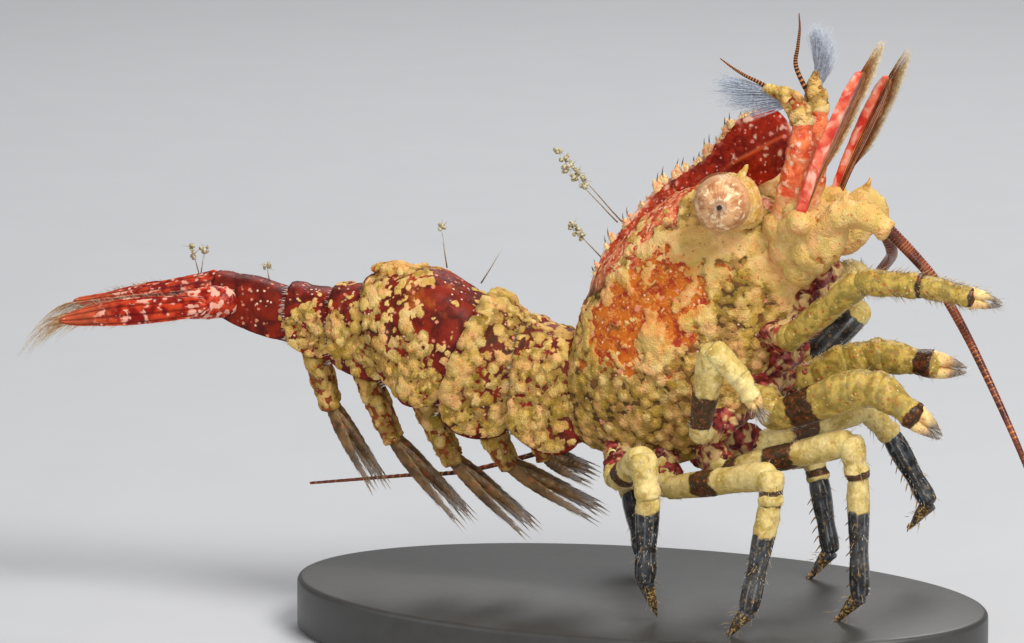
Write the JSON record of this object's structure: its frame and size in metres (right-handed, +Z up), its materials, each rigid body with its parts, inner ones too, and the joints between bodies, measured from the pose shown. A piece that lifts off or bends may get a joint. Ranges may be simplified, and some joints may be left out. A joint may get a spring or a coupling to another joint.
{
  "type": "shrimp model",
  "caption": "Still life-size model of a small rough-shelled shrimp with a deep blunt rostral blade, standing on its walking legs on a plain oval base.",
  "frame": {"origin": "centre of the base's underside", "axes": "+X from tail towards head, +Y towards the animal's left, +Z up"},
  "size_m": [0.0322, 0.011, 0.0181],
  "materials": {
    "crust": "rough granular cream and olive shell",
    "red_shell": "glossy dark red shell with pale spots",
    "banded_limb": "cream limb shell with dark bands",
    "pink_limb": "pink and pale blotched shell with fine hairs",
    "feeler": "yellow shell base and translucent brown feeler",
    "cornea": "clear glossy cornea over a mottled eye",
    "stand": "satin charcoal"
  },
  "bodies": {
    "root": {"carapace": "crust", "eye_right": "cornea", "eye_left": "cornea", "antennule_right": "pink_limb", "antennule_left": "pink_limb", "antennal_scale_right": "pink_limb", "antennal_scale_left": "pink_limb", "antenna_right": "feeler", "antenna_left": "feeler", "mouth_limb_right": "banded_limb", "mouth_limb_left": "banded_limb", "claw_leg_right": "banded_limb", "claw_leg_left": "banded_limb", "slender_leg_right": "banded_limb", "slender_leg_left": "banded_limb", "walking_leg_3_right": "banded_limb", "walking_leg_3_left": "banded_limb", "walking_leg_4_right": "banded_limb", "walking_leg_4_left": "banded_limb", "walking_leg_5_right": "banded_limb", "walking_leg_5_left": "banded_limb", "abdomen_1": "crust", "abdomen_2": "crust", "abdomen_3": "crust", "abdomen_4": "crust", "abdomen_5": "crust", "abdomen_6": "red_shell", "telson": "red_shell", "inner_uropod_right": "red_shell", "inner_uropod_left": "red_shell", "outer_uropod_right": "red_shell", "outer_uropod_left": "red_shell", "swimmer_1_right": "crust", "swimmer_1_left": "crust", "swimmer_2_right": "crust", "swimmer_2_left": "crust", "swimmer_3_right": "crust", "swimmer_3_left": "crust", "swimmer_4_right": "crust", "swimmer_4_left": "crust", "swimmer_5_right": "crust", "swimmer_5_left": "crust", "stand_base": "stand"}
  },
  "joints": []
}
